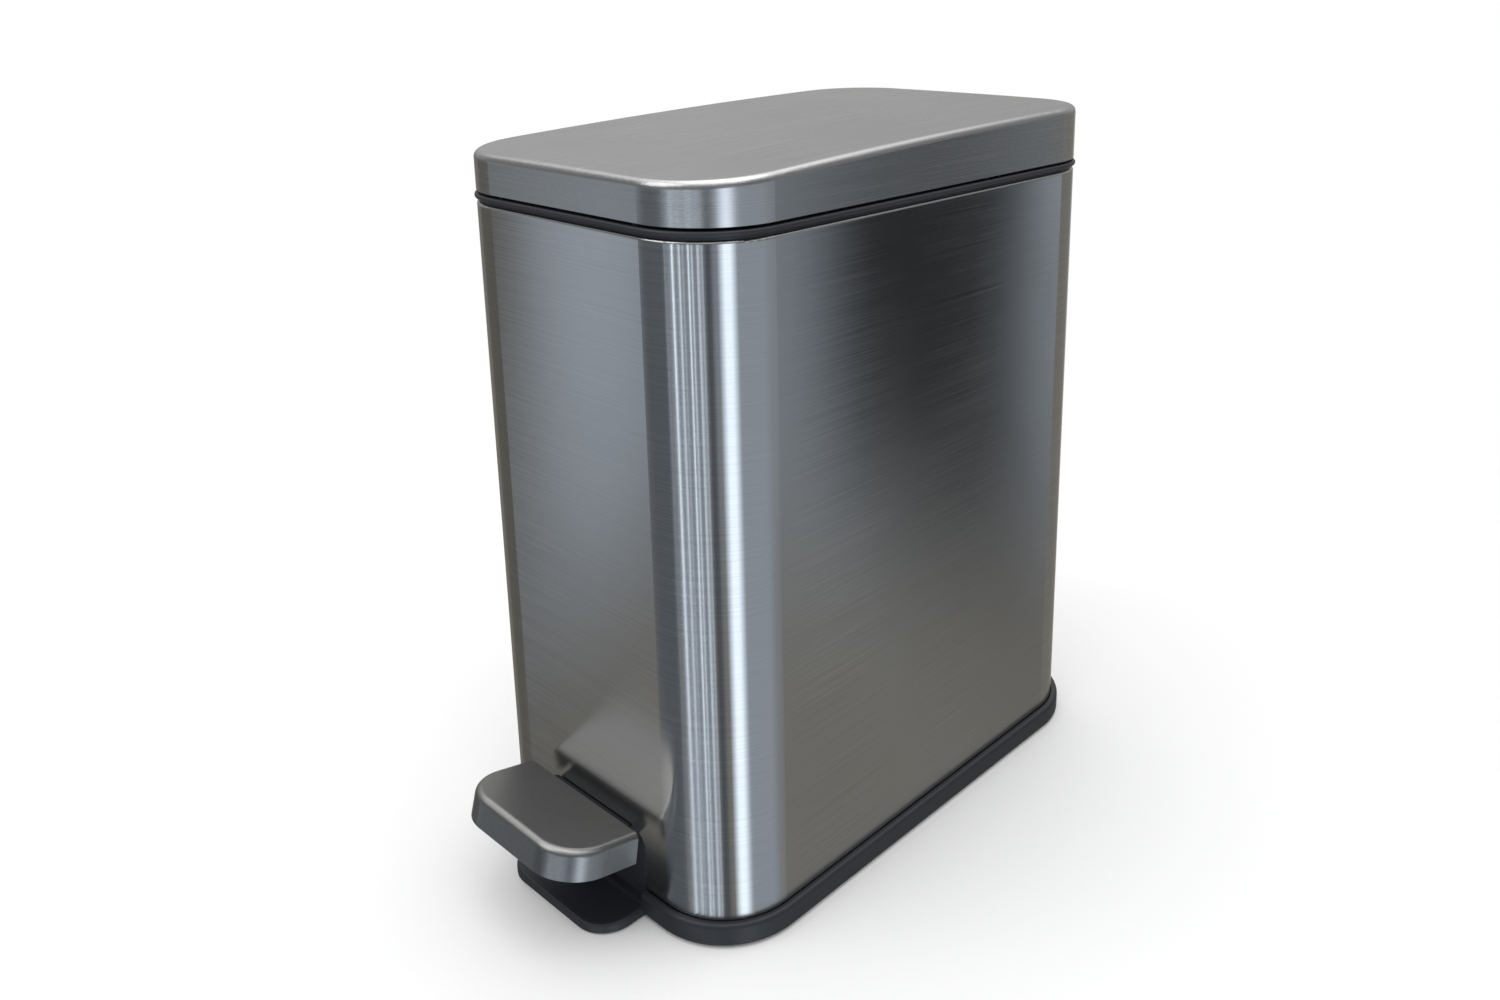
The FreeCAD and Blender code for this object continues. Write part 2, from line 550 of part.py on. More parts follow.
def rod_guide(z):
    """Plastic guide on the rear wall that the rod slides through."""
    y0 = ROD_Y - ROD_WIDE / 2 - 3.0
    y1 = REAR - SHEET - 0.1
    block = box(-5.0, 5.0, y0, y1, z - 9.0, z + 9.0)
    flange = box(-GUIDE_RIVET_X - 5.0, GUIDE_RIVET_X + 5.0, y1 - 2.2, y1, z - 9.0, z + 9.0)
    corners = [e for e in flange.Edges if abs(e.Length - 2.2) < 0.01]
    flange = flange.makeFillet(3.0, corners)
    guide = fuse(block, flange)
    window = box(-ROD_T / 2 - 0.3, ROD_T / 2 + 0.3, ROD_Y - ROD_WIDE / 2 - 0.3,
                 ROD_Y + ROD_WIDE / 2 + 0.3, z - 20, z + 20)
    guide = guide.cut(window)
    for x in (-GUIDE_RIVET_X, GUIDE_RIVET_X):
        guide = guide.cut(rod_y(RIVET_R, y1 - 5, y1 + 1, x, z))
    return guide


def guide_rivets():
    return group([rivet_y(x, REAR, z, 5.0) for z in GUIDE_Z for x in (-GUIDE_RIVET_X, GUIDE_RIVET_X)])


# ---- pedal ----
FORK = 18.0               # length of the lever's forked rear end
LEVER_RIVETS_Y = (FRONT - 24.0, FRONT - 14.0)
LEVER_RIVET_R = 1.6


def lever_edges(y):
    """Lower and upper edge of the resting lever at y."""
    bend = AXLE_Z - LEVER_SLOPE * (LEVER_BEND_Y - AXLE_Y)
    if y >= LEVER_BEND_Y:
        middle = AXLE_Z - LEVER_SLOPE * (y - AXLE_Y)
        return middle - LEVER_H / 2, middle + LEVER_H / 2
    share = (LEVER_BEND_Y - y) / (LEVER_BEND_Y - LEVER_TIP_Y)
    low = (1 - share) * (bend - LEVER_H / 2) + share * LEVER_TIP_Z[0]
    high = (1 - share) * (bend + LEVER_H / 2) + share * LEVER_TIP_Z[1]
    return low, high


def lever_side(half, rear, lower=0.0, upper=0.0):
    """Plate with the lever's outline from its tip to rear, its edges moved out by lower and upper."""
    stations = (LEVER_TIP_Y, LEVER_BEND_Y, rear)
    under = [(y, lever_edges(y)[0] - lower) for y in stations]
    over = [(y, lever_edges(y)[1] + upper) for y in reversed(stations)]
    return plate_yz(under + over, -half, half)


def pedal_lever():
    """Channel from the pedal to the rear pin, open below, forked at its rear end."""
    rear_end = rod_x(LEVER_H / 2, -LEVER_HALF, LEVER_HALF, ROD_Y, LOWER_PIN_Z)
    channel = fuse(lever_side(LEVER_HALF, ROD_Y), rear_end)
    inner = LEVER_HALF - LEVER_SHEET
    channel = channel.cut(lever_side(inner, ROD_Y - FORK, lower=LEVER_H, upper=-LEVER_SHEET))
    fork = box(-inner, inner, ROD_Y - FORK - 0.1, ROD_Y + LEVER_H, 0, AXLE_Z + LEVER_H)
    channel = channel.cut(fork)
    channel = channel.cut(rod_x(AXLE_R, -20, 20, AXLE_Y, AXLE_Z))
    channel = channel.cut(rod_x(PIN_R, -20, 20, ROD_Y, LOWER_PIN_Z))
    for y in LEVER_RIVETS_Y:
        channel = channel.cut(rod_x(LEVER_RIVET_R, -20, 20, y, sum(lever_edges(y)) / 2))
    return channel


AXLE_HALF = 30.0
CLIP_X = BLOCK_X + 8.4    # spring clips on the axle
CORE_RIB = 3.2            # walls of the core beside the lever


def pedal_axle():
    axle = rod_x(AXLE_R, -AXLE_HALF, AXLE_HALF, AXLE_Y, AXLE_Z)
    axle = axle.makeChamfer(0.5, [e for e in axle.Edges if abs(abs(e.CenterOfMass.x) - AXLE_HALF) < 0.1])
    for x in (-CLIP_X, CLIP_X):
        groove = rod_x(AXLE_R + 1, x - 0.5, x + 0.5, AXLE_Y, AXLE_Z)
        core = rod_x(AXLE_R - 0.6, x - 1, x + 1, AXLE_Y, AXLE_Z)
        axle = axle.cut(groove.cut(core))
    return axle


def axle_clips():
    """Spring clips in the axle's end grooves."""
    clips = []
    for x in (-CLIP_X, CLIP_X):
        ring = rod_x(5.4, x - 0.4, x + 0.4, AXLE_Y, AXLE_Z)
        bore = rod_x(AXLE_R - 0.6, x - 1, x + 1, AXLE_Y, AXLE_Z)
        mouth = box(x - 1, x + 1, AXLE_Y - 1.8, AXLE_Y + 1.8, AXLE_Z + 1, AXLE_Z + 8)
        clips.append(ring.cut(bore).cut(mouth))
    return group(clips)


def axle_blocks():
    """Plastic bearing blocks screwed to the base's floor."""
    blocks = []
    for side in (-1, 1):
        x0, x1 = sorted((side * (BLOCK_X - 7.0), side * (BLOCK_X + 7.0)))
        foot = box(x0, x1, AXLE_Y - 15.0, AXLE_Y + 15.0, FLOOR_Z, FLOOR_Z + 5.0)
        column = box(x0, x1, AXLE_Y - 6.5, AXLE_Y + 6.5, FLOOR_Z, AXLE_Z)
        head = rod_x(6.5, x0, x1, AXLE_Y, AXLE_Z)
        block = fuse(foot, column, head)
        block = block.cut(rod_x(AXLE_R + 0.06, x0 - 1, x1 + 1, AXLE_Y, AXLE_Z))
        for dy in (-BLOCK_SCREW_Y, BLOCK_SCREW_Y):
            block = block.cut(rod_z(1.5, FLOOR_Z - 1, FLOOR_Z + 8, side * BLOCK_X, AXLE_Y + dy))
        blocks.append(block)
    return group(blocks)


def axle_block_screws():
    return group([screw_z(side * BLOCK_X, AXLE_Y + dy, FLOOR_Z + 5.0, 6.6, shank=1.35)
                  for side in (-1, 1) for dy in (-BLOCK_SCREW_Y, BLOCK_SCREW_Y)])


def lever_pin():
    return pin_with_heads(ROD_Y, LOWER_PIN_Z, LEVER_HALF)


def cap_form(inset, low, high):
    """Level pedal form between two heights above its lower edge; its skirt leans out on its way down."""
    wires = []
    for height in (low, high):
        grow = PEDAL_DRAFT * (1 - height / PEDAL_H) - inset
        wires.append(rounded(PEDAL_HALF - PEDAL_DRAFT + grow, FRONT - PEDAL_RUN[1] + PEDAL_DRAFT - grow,
                             FRONT - PEDAL_RUN[0], PEDAL_R + grow, 0, PEDAL_LOW + height).OuterWire)
    return Part.makeLoft(wires, True, True)


def cap_block(inset, low, high):
    """Pedal form with its upper edge rounded along the front and sides."""
    form = cap_form(inset, low, high)
    back = FRONT - PEDAL_RUN[0] - 0.5
    rim = [e for e in edges_at(form, PEDAL_LOW + high) if e.CenterOfMass.y < back]
    return form.makeFillet(PEDAL_EDGE_R - inset, rim)


def pedal_cap():
    """Steel cap of the pedal, open below and behind."""
    outer = cap_block(0.0, 0.0, PEDAL_H)
    inner = cap_block(PEDAL_SHEET, -1.0, PEDAL_H - PEDAL_SHEET)
    return pitched(outer.cut(inner))


CORE_GAP = 0.15           # between the cap's sheet and the core
TAIL_HALF = 26.0          # neck of the core behind the cap


def pedal_core():
    """Plastic body under the cap that grips the lever."""
    inset = PEDAL_SHEET + CORE_GAP
    core = cap_block(inset, 1.4, PEDAL_H - inset)
    tail = box(-TAIL_HALF, TAIL_HALF, FRONT - PEDAL_RUN[0] - 1.0, FRONT - 2.4,
               PEDAL_LOW + 1.4, PEDAL_LOW + PEDAL_H - 4.5)
    rib = LEVER_HALF + CORE_RIB
    spine = box(-rib, rib, FRONT - PEDAL_RUN[1], FRONT, PEDAL_LOW - 5, PEDAL_LOW + PEDAL_H)
    hollow = cap_form(4.0, -1.0, PEDAL_H - 5.5).cut(spine)
    core = pitched(fuse(core, tail).cut(hollow))
    core = core.cut(lever_side(LEVER_HALF + 0.05, FRONT + 5.0, lower=10.0, upper=0.05))
    for y in LEVER_RIVETS_Y:
        z = sum(lever_edges(y)) / 2
        core = core.cut(rod_x(LEVER_RIVET_R, -20, 20, y, z))
        for x0, x1 in ((-20, -rib), (rib, 20)):
            core = core.cut(rod_x(3.0, x0, x1, y, z))
    return core


def pedal_rivets():
    """Cross rivets through the core's ribs and the lever."""
    rivets = []
    half = LEVER_HALF + CORE_RIB
    for y in LEVER_RIVETS_Y:
        z = sum(lever_edges(y)) / 2
        heads = [rod_x(2.6, x, x + 0.8, y, z) for x in (-half - 0.8, half)]
        rivets.append(fuse(rod_x(LEVER_RIVET_R, -half, half, y, z), *heads))
    return group(rivets)


# ---- inner bucket ----
def bucket_block(inset, z0, z1):
    """Bucket form: narrows by BUCKET_TAPER at its foot."""
    wires = []
    for z in (z0, z1):
        shrink = inset + BUCKET_TAPER * (BUCKET_TOP - z) / (BUCKET_TOP - BUCKET_LOW)
        side = BUCKET_GAP + BUCKET_RIM + shrink
        wires.append(rounded(BODY_W / 2 - side, FRONT + side, BUCKET_REAR - BUCKET_RIM - shrink,
                             BUCKET_R[0] - inset, BUCKET_R[1] - inset, z).OuterWire)
    return Part.makeLoft(wires, True, True)


def inner_bucket():
    """Removable plastic bucket with a turned-out rim and two bail ears."""
    outer = bucket_block(0.0, BUCKET_LOW, BUCKET_TOP)
    outer = outer.makeFillet(5.0, edges_at(outer, BUCKET_LOW))
    rim_face = rounded(BODY_W / 2 - BUCKET_GAP, FRONT + BUCKET_GAP, BUCKET_REAR,
                       CORNER_R - BUCKET_GAP, 12.0, RIM_LEDGE_Z + 0.2)
    rim = rim_face.extrude(Vector(0, 0, BUCKET_TOP - RIM_LEDGE_Z - 0.2))
    rim = rim.makeFillet(1.0, edges_at(rim, BUCKET_TOP))
    bucket = fuse(outer, rim)
    cavity = bucket_block(BUCKET_WALL, BUCKET_LOW + BUCKET_WALL, BUCKET_TOP + 5)
    cavity = cavity.makeFillet(3.5, edges_at(cavity, BUCKET_LOW + BUCKET_WALL))
    bucket = bucket.cut(cavity)
    for side in (-1, 1):
        x0, x1 = sorted((side * EAR_X[0], side * EAR_X[1]))
        ear = box(x0, x1, BAIL_Y - 6.0, BAIL_Y + 6.0, BAIL_Z - 8.0, BAIL_Z)
        x0, x1 = sorted((side * (EAR_X[0] - 8.0), side * EAR_X[1]))
        rest = box(x0, x1, BAIL_Y - 15.0, BAIL_Y - 5.5, BAIL_Z - 5.0, BAIL_Z - BAIL_R - 0.1)
        x0, x1 = sorted((side * EAR_X[0], side * EAR_X[1]))
        bucket = bucket.multiFuse([ear, rest, rod_x(6.0, x0, x1, BAIL_Y, BAIL_Z)])
    bucket = bucket.cut(rod_x(BAIL_R + 0.06, -BODY_W, BODY_W, BAIL_Y, BAIL_Z))
    return bucket.removeSplitter()


EAR_OUT = BODY_W / 2 - BUCKET_GAP - BUCKET_RIM - BUCKET_WALL + 0.6
EAR_X = (EAR_OUT - 3.6, EAR_OUT)


def bail_wire():
    """Centre line of the bail: a pivot end, an arm, the bar under the grip, and the same back."""
    arm = EAR_X[0] - PIN_BEND - 0.3
    corners = [(Vector(arm, BAIL_Y, BAIL_Z), PIN_BEND), (Vector(arm, BAIL_FRONT, BAIL_Z), BAIL_BEND),
               (Vector(-arm, BAIL_FRONT, BAIL_Z), BAIL_BEND), (Vector(-arm, BAIL_Y, BAIL_Z), PIN_BEND)]
    tip = EAR_X[1] + 0.2
    points = [Vector(tip, BAIL_Y, BAIL_Z), *[corner for corner, radius in corners],
              Vector(-tip, BAIL_Y, BAIL_Z)]
    edges = []
    start = points[0]
    for before, (corner, radius), after in zip(points, corners, points[2:]):
        back = (before - corner).normalize()
        ahead = (after - corner).normalize()
        first = corner + back * radius
        last = corner + ahead * radius
        middle = corner + (back + ahead) * radius * (1 - math.sqrt(0.5))
        edges.append(Part.LineSegment(start, first).toShape())
        edges.append(Part.Arc(first, middle, last).toShape())
        start = last
    edges.append(Part.LineSegment(start, points[-1]).toShape())
    return Part.Wire(edges)


def bucket_handle():
    """Round wire bail, folded forward inside the bucket's mouth."""
    path = bail_wire()
    profile = Part.Wire(Part.makeCircle(BAIL_R, path.Vertexes[0].Point, Vector(-1, 0, 0)))
    return path.makePipeShell([profile], True, False)


def handle_grip():
    """Plastic sleeve on the middle of the bail."""
    sleeve = rod_x(5.0, -38.0, 38.0, BAIL_FRONT, BAIL_Z)
    sleeve = sleeve.makeFillet(1.5, [e for e in sleeve.Edges if abs(abs(e.CenterOfMass.x) - 38.0) < 0.1])
    return sleeve.cut(rod_x(BAIL_R, -40, 40, BAIL_FRONT, BAIL_Z))


PARTS = {
    "base_tray": base_tray,
    "rubber_feet": rubber_feet,
    "pedal_stop": pedal_stop,
    "body_shell": body_shell,
    "base_rivets": base_rivets,
    "slot_shroud": slot_shroud,
    "rim_ring": rim_ring,
    "lid_bumpers": lid_bumpers,
    "hinge_leaf_body": lambda: hinge_leaf(False),
    "hinge_pin": hinge_pin,
    "hinge_rivets_body": lambda: hinge_rivets(HINGE_RIVET_Z),
    "rod_guide_upper": lambda: rod_guide(GUIDE_Z[1]),
    "rod_guide_lower": lambda: rod_guide(GUIDE_Z[0]),
    "guide_rivets": guide_rivets,
    "axle_blocks": axle_blocks,
    "axle_block_screws": axle_block_screws,
    "lid_shell": lid_shell,
    "lid_liner": lid_liner,
    "hinge_leaf_lid": lambda: hinge_leaf(True),
    "hinge_rivets_lid": lambda: hinge_rivets(HINGE_RIVET_LID_Z),
    "lid_lever": lid_lever,
    "lid_lever_pin": lid_lever_pin,
    "lid_lever_screws": lid_lever_screws,
    "lift_rod": lift_rod,
    "pedal_cap": pedal_cap,
    "pedal_core": pedal_core,
    "pedal_lever": pedal_lever,
    "pedal_axle": pedal_axle,
    "axle_clips": axle_clips,
    "lever_pin": lever_pin,
    "pedal_rivets": pedal_rivets,
    "inner_bucket": inner_bucket,
    "bucket_handle": bucket_handle,
    "handle_grip": handle_grip,
}

os.makedirs("parts", exist_ok=True)
for name, make in PARTS.items():
    shape = make()
    shape.exportStep(f"parts/{name}.step")
    size = shape.BoundBox
    print(f"{name:20s} solids {len(shape.Solids)} valid {shape.isValid()} {shape.Volume / 1000:8.2f} cm3",
          f"x {size.XMin:.1f} {size.XMax:.1f} y {size.YMin:.1f} {size.YMax:.1f}",
          f"z {size.ZMin:.1f} {size.ZMax:.1f}")

print(f"pedal swing {2 * LEVER_TILT:.4f} deg, rod travel {ROD_TRAVEL:.4f} mm")
print(f"hinge axis y {HINGE_Y:.4f} z {HINGE_Z:.4f}, axle y {AXLE_Y:.4f} z {AXLE_Z:.4f}")
print(f"bail axis y {BAIL_Y:.4f} z {BAIL_Z:.4f}")
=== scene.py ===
import json
import math

import bpy
from mathutils import Matrix, Vector


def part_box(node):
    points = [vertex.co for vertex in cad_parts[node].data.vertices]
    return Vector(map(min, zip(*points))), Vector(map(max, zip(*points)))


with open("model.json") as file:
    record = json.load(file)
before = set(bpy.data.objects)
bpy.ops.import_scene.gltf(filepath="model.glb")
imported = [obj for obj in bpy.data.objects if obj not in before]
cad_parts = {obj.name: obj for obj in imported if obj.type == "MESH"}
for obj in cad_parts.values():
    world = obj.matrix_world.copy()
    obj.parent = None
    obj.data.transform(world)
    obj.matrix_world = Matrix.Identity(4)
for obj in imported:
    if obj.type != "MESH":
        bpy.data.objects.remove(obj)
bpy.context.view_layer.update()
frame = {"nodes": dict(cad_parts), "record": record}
scene = bpy.context.scene


# ---------------------------------------------------------------- camera
SENSOR_MM = 36.0
FOCAL_MM = 29.857
SHIFT = (-0.0430, -0.1336)
CAMERA_FROM_BODY = Vector((0.4133, -0.4306, 0.4055))   # from the floor point under the steel body's middle
CAMERA_YAW = 42.964
CAMERA_PITCH = 14.570
CAMERA_ROLL = -0.518


def body_centre():
    """Floor point under the middle of the steel body."""
    low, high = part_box("body_shell")
    return Vector(((low.x + high.x) / 2, (low.y + high.y) / 2, 0.0))


def make_camera():
    yaw = math.radians(CAMERA_YAW)
    pitch = math.radians(CAMERA_PITCH)
    roll = math.radians(CAMERA_ROLL)
    forward = Vector((-math.sin(yaw) * math.cos(pitch), math.cos(yaw) * math.cos(pitch), -math.sin(pitch)))
    level = Vector((math.cos(yaw), math.sin(yaw), 0.0))
    upright = level.cross(forward)
    right = math.cos(roll) * level + math.sin(roll) * upright
    up = -math.sin(roll) * level + math.cos(roll) * upright
    data = bpy.data.cameras.new("camera")
    data.sensor_width = SENSOR_MM
    data.sensor_fit = "HORIZONTAL"
    data.lens = FOCAL_MM
    data.shift_x, data.shift_y = SHIFT
    data.clip_start = 0.01
    camera = bpy.data.objects.new("camera", data)
    scene.collection.objects.link(camera)
    turn = Matrix((right, up, -forward)).transposed().to_4x4()
    camera.matrix_world = Matrix.Translation(body_centre() + CAMERA_FROM_BODY) @ turn
    scene.camera = camera


# ---------------------------------------------------------------- node helpers
def new_material(name):
    material = bpy.data.materials.new(name)
    material.use_nodes = True
    tree = material.node_tree
    shader = tree.nodes["Principled BSDF"]
    return material, tree, shader


def node(tree, kind, **values):
    made = tree.nodes.new(kind)
    for key, value in values.items():
        setattr(made, key, value)
    return made


def math_node(tree, operation, a, b=None, c=None):
    made = node(tree, "ShaderNodeMath", operation=operation)
    for socket, value in zip(made.inputs, (a, b, c)):
        if value is None:
            continue
        if isinstance(value, (int, float)):
            socket.default_value = value
        else:
            tree.links.new(value, socket)
    return made.outputs[0]


def scaled_coords(tree, scale):
    """Object coordinates, stretched along each axis."""
    coords = node(tree, "ShaderNodeTexCoord")
    mapping = node(tree, "ShaderNodeMapping")
    mapping.inputs["Scale"].default_value = scale
    tree.links.new(coords.outputs["Object"], mapping.inputs["Vector"])
    return mapping.outputs["Vector"]


def noise(tree, vector, detail=3.0, roughness=0.5, scale=1.0):
    made = node(tree, "ShaderNodeTexNoise")
    made.inputs["Scale"].default_value = scale
    made.inputs["Detail"].default_value = detail
    made.inputs["Roughness"].default_value = roughness
    tree.links.new(vector, made.inputs["Vector"])
    return made.outputs["Fac"]


def spread(tree, fac, low, high, start=0.3, end=0.7):
    """Map a 0 to 1 pattern from the span start..end to the span low..high."""
    made = node(tree, "ShaderNodeMapRange")
    tree.links.new(fac, made.inputs["Value"])
    made.inputs["From Min"].default_value = start
    made.inputs["From Max"].default_value = end
    made.inputs["To Min"].default_value = low
    made.inputs["To Max"].default_value = high
    return made.outputs["Result"]


def mix(tree, kind, fac, a, b):
    """Blend from a to b, each a tuple or a socket; kind is FLOAT, VECTOR or RGBA."""
    made = node(tree, "ShaderNodeMix", data_type=kind)
    tree.links.new(fac, made.inputs["Factor"])
    for socket, value in ((made.inputs["A"], a), (made.inputs["B"], b)):
        if isinstance(value, tuple):
            socket.default_value = value
        else:
            tree.links.new(value, socket)
    return made.outputs["Result"]


def two_tones(tree, fac, dark, light):
    return mix(tree, "RGBA", fac, (*dark, 1.0), (*light, 1.0))


def bump(tree, shader, height, distance, strength=1.0):
    made = node(tree, "ShaderNodeBump")
    made.inputs["Distance"].default_value = distance
    made.inputs["Strength"].default_value = strength
    tree.links.new(height, made.inputs["Height"])
    tree.links.new(made.outputs["Normal"], shader.inputs["Normal"])


# ---------------------------------------------------------------- materials
TOP_FACING = 0.75         # faces whose normal rises more than this are brushed lengthwise
QUARTER_TURN = 0.25       # turns the stretched gloss across the brush marks


def surface_facing(tree):
    """The surface normal, and 1 where it looks up or 0 elsewhere."""
    normal = node(tree, "ShaderNodeNewGeometry").outputs["Normal"]
    split = node(tree, "ShaderNodeSeparateXYZ")
    tree.links.new(normal, split.inputs["Vector"])
    return normal, math_node(tree, "GREATER_THAN", split.outputs["Z"], TOP_FACING)


def grain_direction(tree, normal, is_top):
    """Unit vector along the brush marks: level around upright faces, along Y on faces that look up."""
    around = node(tree, "ShaderNodeVectorMath", operation="CROSS_PRODUCT")
    around.inputs[0].default_value = (0.0, 0.0, 1.0)
    tree.links.new(normal, around.inputs[1])
    return mix(tree, "VECTOR", is_top, around.outputs["Vector"], (0.0, 1.0, 0.0))


def brushed_steel(name, tone, roughness, anisotropy, marks_along, marks_across):
    """Stainless sheet with drawn brush marks, given as marks per metre along and across the grain."""
    material, tree, shader = new_material(name)
    normal, is_top = surface_facing(tree)
    sides = noise(tree, scaled_coords(tree, (marks_along, marks_along, marks_across)), 4.0, 0.6)
    tops = noise(tree, scaled_coords(tree, (marks_across, marks_along, marks_along)), 4.0, 0.6)
    marks = mix(tree, "FLOAT", is_top, sides, tops)
    smudge = noise(tree, scaled_coords(tree, (14.0, 14.0, 14.0)), 3.0)
    dark = [c * 0.90 for c in tone]
    light = [min(c * 1.08, 1.0) for c in tone]
    tree.links.new(two_tones(tree, spread(tree, marks, 0.0, 1.0), dark, light), shader.inputs["Base Color"])
    rough_marks = spread(tree, marks, roughness - 0.02, roughness + 0.02)
    rough_smudge = spread(tree, smudge, -0.01, 0.015)
    tree.links.new(math_node(tree, "ADD", rough_marks, rough_smudge), shader.inputs["Roughness"])
    shader.inputs["Metallic"].default_value = 1.0
    shader.inputs["Anisotropic"].default_value = anisotropy
    shader.inputs["Anisotropic Rotation"].default_value = QUARTER_TURN
    tree.links.new(grain_direction(tree, normal, is_top), shader.inputs["Tangent"])
    bump(tree, shader, marks, 0.00001, 0.2)
    return material


def moulded_plastic(name, tone, roughness, grain=2600.0):
    """Matte moulding with a fine spark-eroded grain."""
    material, tree, shader = new_material(name)
    fine = noise(tree, scaled_coords(tree, (grain,) * 3), detail=2.0)
    cloud = noise(tree, scaled_coords(tree, (30.0,) * 3), detail=3.0)
    dark = [c * 0.93 for c in tone]
    light = [c * 1.07 for c in tone]
    tree.links.new(two_tones(tree, spread(tree, cloud, 0.0, 1.0), dark, light), shader.inputs["Base Color"])
    tree.links.new(spread(tree, fine, roughness - 0.05, roughness + 0.07), shader.inputs["Roughness"])
    shader.inputs["Specular IOR Level"].default_value = 0.45
    bump(tree, shader, fine, 0.00006, 0.5)
    return material


def plated_steel(name, tone, roughness):
    """Zinc or chrome plate with faint mottling."""
    material, tree, shader = new_material(name)
    mottle = noise(tree, scaled_coords(tree, (260.0,) * 3), detail=4.0)
    dark = [c * 0.88 for c in tone]
    tree.links.new(two_tones(tree, spread(tree, mottle, 0.0, 1.0), dark, tone), shader.inputs["Base Color"])
    tree.links.new(spread(tree, mottle, roughness - 0.06, roughness + 0.08), shader.inputs["Roughness"])
    shader.inputs["Metallic"].default_value = 1.0
    bump(tree, shader, mottle, 0.00004, 0.3)
    return material


def rubber(name):
    material, tree, shader = new_material(name)
    fine = noise(tree, scaled_coords(tree, (1800.0,) * 3), detail=2.0)
    tone = two_tones(tree, fine, (0.018, 0.018, 0.018), (0.035, 0.035, 0.036))
    tree.links.new(tone, shader.inputs["Base Color"])
    tree.links.new(spread(tree, fine, 0.7, 0.85), shader.inputs["Roughness"])
    bump(tree, shader, fine, 0.00008, 0.5)
    return material


def paint_slots():
    """One material for each material slot of the record."""
    return {
        "brushed_body": brushed_steel("brushed_body", (0.57, 0.57, 0.57), 0.15, 1.0, 12.0, 2800.0),
        "brushed_lid": brushed_steel("brushed_lid", (0.55, 0.55, 0.55), 0.26, 0.6, 12.0, 2800.0),
        "pedal_steel": brushed_steel("pedal_steel", (0.34, 0.34, 0.335), 0.33, 0.3, 600.0, 2600.0),
        "black_moulding": moulded_plastic("black_moulding", (0.019, 0.021, 0.026), 0.40),
        "grey_moulding": moulded_plastic("grey_moulding", (0.12, 0.12, 0.125), 0.5),
        "bucket_plastic": moulded_plastic("bucket_plastic", (0.15, 0.155, 0.165), 0.4, 1800.0),
        "zinc_steel": plated_steel("zinc_steel", (0.66, 0.66, 0.64), 0.32),
        "bright_wire": plated_steel("bright_wire", (0.75, 0.75, 0.76), 0.16),
        "dark_rubber": rubber("dark_rubber"),
    }


def dress_cad_nodes(paints):
    slot_of = {part["node"]: part["material_slot"] for part in frame["record"]["subparts"]}
    for name, obj in frame["nodes"].items():
        obj.data.materials.clear()
        obj.data.materials.append(paints[slot_of[name]])


# ---------------------------------------------------------------- stage
FLOOR_REACH = 3.0
FLOOR_FADE = (0.25, 0.75)                # distance from the part where the floor starts and ends its fade


def make_floor():
    """Pale round floor that fades out into the backdrop."""
    mesh = bpy.data.meshes.new("floor")
    reach = FLOOR_REACH
    corners = [(-reach, -reach, 0), (reach, -reach, 0), (reach, reach, 0), (-reach, reach, 0)]
    mesh.from_pydata(corners, [], [(0, 1, 2, 3)])
    floor = bpy.data.objects.new("floor", mesh)
    scene.collection.objects.link(floor)
    material, tree, shader = new_material("floor_paint")
    shader.inputs["Base Color"].default_value = (0.93, 0.93, 0.93, 1.0)
    shader.inputs["Roughness"].default_value = 0.8
    shader.inputs["Specular IOR Level"].default_value = 0.1
    coords = node(tree, "ShaderNodeTexCoord")
    length = node(tree, "ShaderNodeVectorMath", operation="LENGTH")
    tree.links.new(coords.outputs["Object"], length.inputs[0])
    fade = spread(tree, length.outputs["Value"], 1.0, 0.0, *FLOOR_FADE)
    tree.links.new(fade, shader.inputs["Alpha"])
    mesh.materials.append(material)
    floor.visible_glossy = False


# What the steel mirrors: a plain room with soft upright panels, dark flags and one slatted window.
# Compass directions are degrees from +X towards +Y.
COOL = (0.86, 0.97, 1.10)
WARM = (1.05, 1.00, 0.88)
WALL_BRIGHTNESS = 0.35
GROUND_BRIGHTNESS = 0.22
GROUND_EDGE = (-0.5, -0.35)              # height of the ray where ground gives way to wall
CEILING_EDGE = (0.0, 0.1)                # height of the ray where wall gives way to ceiling
CEILING = [(0.0, (0.35,) * 3), (0.5, (0.5,) * 3), (1.0, (3.0,) * 3)]
BRIGHT_SIDE = (-0.6, 0.8, 0.0)           # the ceiling dims away from this direction
WINDOW = (-98, -56, 6, 3.0)              # from, to, soft edge, brightness of the slats
SLATS_PER_TURN = 90.0
PANELS = [                               # from, to, soft edge, brightness, tint, reaches the ground
    (-190, -147, 2, 0.13, WARM, True),   # dim rear wall, up to the compass seam
    (150, 190, 6, 0.2, WARM, True),      # and on beyond it
    (-145, -142, 2, 0.55, COOL, False),  # pane mirrored by the pedal side
    (-132, -104, 8, 0.14, COOL, True),   # flag left of the slatted window
    (-92, -56, 6, 0.35, COOL, True),     # wash behind the slats
    (-48, -44, 5, 0.12, COOL, True),     # gap between the window and the strip light
    (-12, 24, 20, 0.45, COOL, True),     # wash right of the strip light
    (-26, -19, 9, 1.8, COOL, True),      # strip light
    (49, 56, 3, 0.01, COOL, False),      # flag mirrored by the long side
    (58, 59, 1, 0.5, COOL, False),       # slim light at the end of the long side
    (62, 100, 3, 0.22, WARM, True),      # rear right wall
    (108, 142, 6, 0.45, WARM, True),     # rear window wall
]


def ramp(tree, fac, stops):
    """Colour ramp over (place, colour) stops, with places from 0 to 1."""
    made = node(tree, "ShaderNodeValToRGB")
    elements = made.color_ramp.elements
    elements.remove(elements[-1])
    for i, (place, colour) in enumerate(stops):
        element = elements[0] if i == 0 else elements.new(place)
        element.position = place
        element.color = (*colour, 1.0)
    tree.links.new(fac, made.inputs["Fac"])
    return made.outputs["Color"]


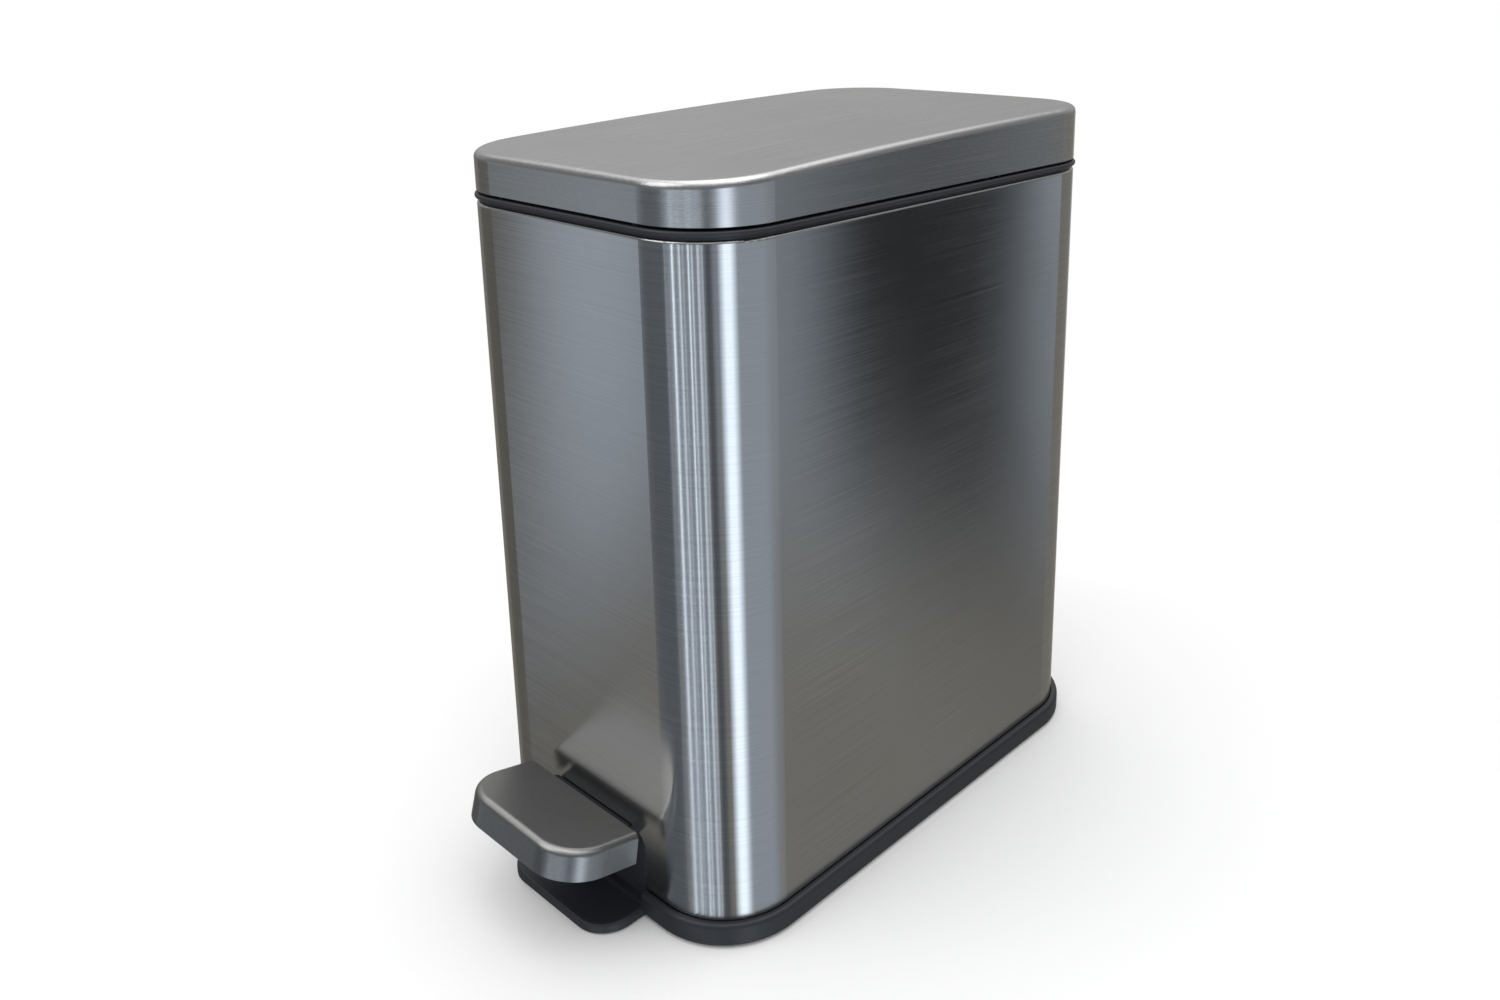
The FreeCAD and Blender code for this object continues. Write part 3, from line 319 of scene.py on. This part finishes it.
def tinted(brightness, tint):
    return (*[brightness * c for c in tint], 1.0)


def upright_span(tree, compass, start, end, edge):
    """1 between two compass directions, fading to 0 over the soft edge outside them."""
    rise = spread(tree, compass, 0.0, 1.0, start - edge, start)
    fall = spread(tree, compass, 1.0, 0.0, end, end + edge)
    return math_node(tree, "MULTIPLY", rise, fall)


def walls(tree, compass, above_ground):
    """Wall and ground tones with the panels laid over them, later panels on top."""
    seen = mix(tree, "RGBA", above_ground, tinted(GROUND_BRIGHTNESS, WARM), tinted(WALL_BRIGHTNESS, COOL))
    for start, end, edge, brightness, tint, to_ground in PANELS:
        cover = upright_span(tree, compass, start, end, edge)
        if not to_ground:
            cover = math_node(tree, "MULTIPLY", cover, above_ground)
        seen = mix(tree, "RGBA", cover, seen, tinted(brightness, tint))
    return seen


def slats(tree, compass):
    """Thin upright lines of light, uneven in width and strength, across the window."""
    start, end, edge, brightness = WINDOW
    line = node(tree, "ShaderNodeCombineXYZ")
    tree.links.new(math_node(tree, "MULTIPLY", compass, SLATS_PER_TURN / 360), line.inputs["X"])
    lines = spread(tree, noise(tree, line.outputs["Vector"], 2.0, 0.8), 0.0, brightness, 0.50, 0.72)
    return math_node(tree, "MULTIPLY", lines, upright_span(tree, compass, start, end, edge))


def ceiling(tree, direction, height):
    """Bright overhead, dimmer near the walls and away from BRIGHT_SIDE."""
    towards = node(tree, "ShaderNodeVectorMath", operation="DOT_PRODUCT")
    tree.links.new(direction, towards.inputs[0])
    towards.inputs[1].default_value = BRIGHT_SIDE
    dimmed = node(tree, "ShaderNodeVectorMath", operation="SCALE")
    tree.links.new(ramp(tree, height, CEILING), dimmed.inputs["Vector"])
    tree.links.new(spread(tree, towards.outputs["Value"], 0.35, 1.0, -0.1, 0.8), dimmed.inputs["Scale"])
    return dimmed.outputs["Vector"]


def make_world():
    """Soft studio: even light on matte surfaces, and the room for the steel to mirror."""
    world = bpy.data.worlds.new("studio")
    world.use_nodes = True
    scene.world = world
    tree = world.node_tree
    direction = node(tree, "ShaderNodeTexCoord").outputs["Generated"]
    split = node(tree, "ShaderNodeSeparateXYZ")
    tree.links.new(direction, split.inputs["Vector"])
    height = split.outputs["Z"]
    angle = math_node(tree, "ARCTAN2", split.outputs["Y"], split.outputs["X"])
    compass = math_node(tree, "DEGREES", angle)
    above_ground = spread(tree, height, 0.0, 1.0, *GROUND_EDGE)
    lit = node(tree, "ShaderNodeVectorMath", operation="MULTIPLY_ADD")
    tree.links.new(slats(tree, compass), lit.inputs[0])
    lit.inputs[1].default_value = COOL
    tree.links.new(walls(tree, compass, above_ground), lit.inputs[2])
    is_ceiling = spread(tree, height, 0.0, 1.0, *CEILING_EDGE)
    room = mix(tree, "RGBA", is_ceiling, lit.outputs["Vector"], ceiling(tree, direction, height))
    path = node(tree, "ShaderNodeLightPath")
    seen = mix(tree, "RGBA", path.outputs["Is Glossy Ray"], (1.0, 1.0, 1.0, 1.0), room)
    shade = tree.nodes["Background"]
    tree.links.new(seen, shade.inputs["Color"])
    shade.inputs["Strength"].default_value = 1.0


def area_light(name, place, aim, size, power):
    data = bpy.data.lights.new(name, "AREA")
    data.shape = "RECTANGLE"
    data.size, data.size_y = size
    data.energy = power
    lamp = bpy.data.objects.new(name, data)
    scene.collection.objects.link(lamp)
    lamp.location = place
    lamp.rotation_euler = (Vector(aim) - Vector(place)).to_track_quat("-Z", "Y").to_euler()


def make_lights():
    area_light("key", (-0.6, -1.2, 1.6), (0, 0, 0.2), (1.2, 1.2), 6.0)
    area_light("top", (0.2, 0.1, 1.8), (0, 0, 0.3), (1.4, 1.4), 6.0)


make_camera()
dress_cad_nodes(paint_slots())
make_floor()
make_world()
make_lights()
scene.view_settings.view_transform = "Standard"
